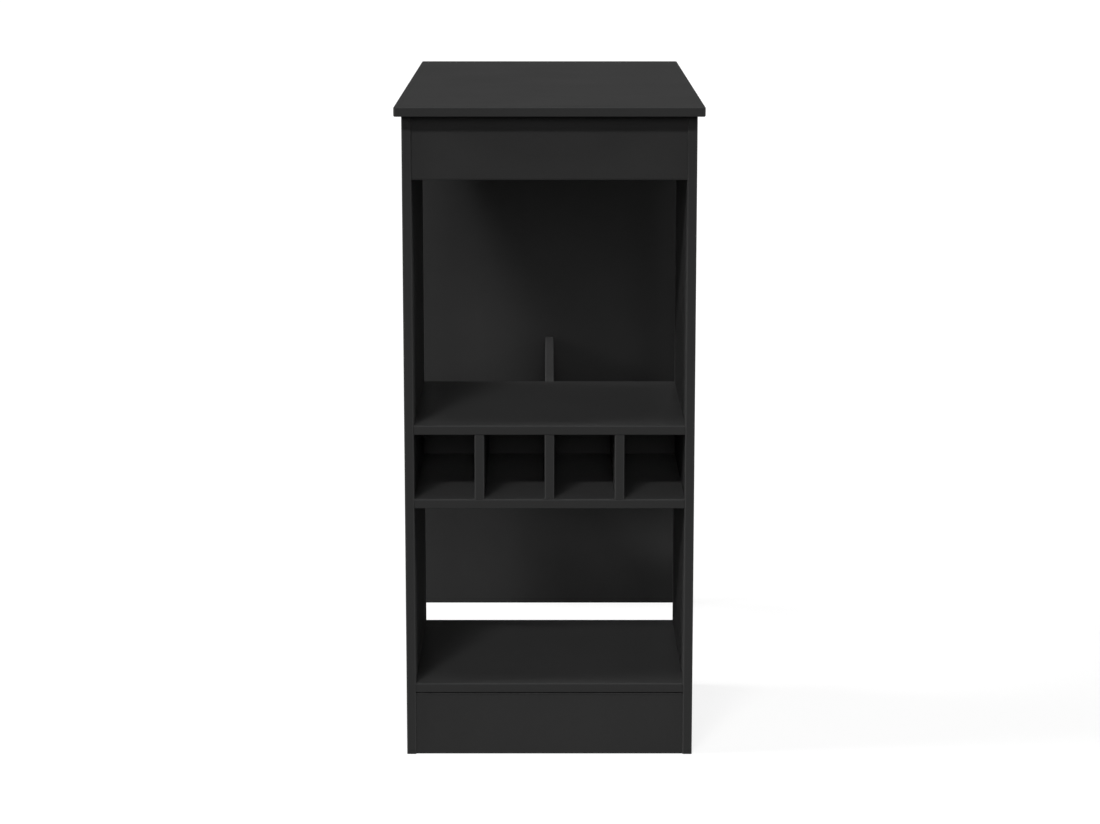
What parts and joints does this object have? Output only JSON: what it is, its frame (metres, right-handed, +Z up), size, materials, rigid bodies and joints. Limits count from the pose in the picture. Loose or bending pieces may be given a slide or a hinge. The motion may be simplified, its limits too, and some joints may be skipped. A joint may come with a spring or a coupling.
{
  "type": "bar table",
  "caption": "Narrow bar-height table with open shelf bays and a bottle rack under one end of the top and a panel leg joined by a stretcher at the other.",
  "frame": {"origin": "on the floor under the middle of the tabletop", "axes": "+Z up, +Y along the table from the shelf end to the panel leg, +X across to the right as seen from the shelf end"},
  "size_m": [0.476, 1.02, 1.035],
  "materials": {
    "black_melamine_board": "particle board faced with matt black melamine, with rounded black plastic edge bands",
    "die_cast_zinc": "die-cast zinc, bare and slightly dull",
    "zinc_plated_steel": "bright zinc-plated turned steel"
  },
  "bodies": {
    "root": {"bolt_bottom_shelf_left_front": "zinc_plated_steel", "bolt_bottom_shelf_left_rear": "zinc_plated_steel", "bolt_bottom_shelf_right_front": "zinc_plated_steel", "bolt_bottom_shelf_right_rear": "zinc_plated_steel", "bolt_end_panel_left": "zinc_plated_steel", "bolt_end_panel_right": "zinc_plated_steel", "bolt_front_apron_left": "zinc_plated_steel", "bolt_front_apron_right": "zinc_plated_steel", "bolt_middle_shelf_left_front": "zinc_plated_steel", "bolt_middle_shelf_left_rear": "zinc_plated_steel", "bolt_middle_shelf_right_front": "zinc_plated_steel", "bolt_middle_shelf_right_rear": "zinc_plated_steel", "bolt_rack_floor_left_front": "zinc_plated_steel", "bolt_rack_floor_left_rear": "zinc_plated_steel", "bolt_rack_floor_right_front": "zinc_plated_steel", "bolt_rack_floor_right_rear": "zinc_plated_steel", "bolt_stretcher_front": "zinc_plated_steel", "bolt_stretcher_rear": "zinc_plated_steel", "bolt_tabletop_left_front": "zinc_plated_steel", "bolt_tabletop_left_rear": "zinc_plated_steel", "bolt_tabletop_right_front": "zinc_plated_steel", "bolt_tabletop_right_rear": "zinc_plated_steel", "bottom_shelf": "black_melamine_board", "cam_bottom_shelf_left_front": "die_cast_zinc", "cam_bottom_shelf_left_rear": "die_cast_zinc", "cam_bottom_shelf_right_front": "die_cast_zinc", "cam_bottom_shelf_right_rear": "die_cast_zinc", "cam_end_panel_left": "die_cast_zinc", "cam_end_panel_right": "die_cast_zinc", "cam_front_apron_left": "die_cast_zinc", "cam_front_apron_right": "die_cast_zinc", "cam_middle_shelf_left_front": "die_cast_zinc", "cam_middle_shelf_left_rear": "die_cast_zinc", "cam_middle_shelf_right_front": "die_cast_zinc", "cam_middle_shelf_right_rear": "die_cast_zinc", "cam_rack_floor_left_front": "die_cast_zinc", "cam_rack_floor_left_rear": "die_cast_zinc", "cam_rack_floor_right_front": "die_cast_zinc", "cam_rack_floor_right_rear": "die_cast_zinc", "cam_stretcher_front": "die_cast_zinc", "cam_stretcher_rear": "die_cast_zinc", "cam_tabletop_left_front": "die_cast_zinc", "cam_tabletop_left_rear": "die_cast_zinc", "cam_tabletop_right_front": "die_cast_zinc", "cam_tabletop_right_rear": "die_cast_zinc", "end_panel": "black_melamine_board", "front_apron": "black_melamine_board", "middle_shelf": "black_melamine_board", "plinth": "black_melamine_board", "rack_back": "black_melamine_board", "rack_divider_1": "black_melamine_board", "rack_divider_2": "black_melamine_board", "rack_divider_3": "black_melamine_board", "rack_floor": "black_melamine_board", "rear_rail": "black_melamine_board", "side_panel_left": "black_melamine_board", "side_panel_right": "black_melamine_board", "stretcher": "black_melamine_board", "tabletop": "black_melamine_board"}
  },
  "joints": []
}
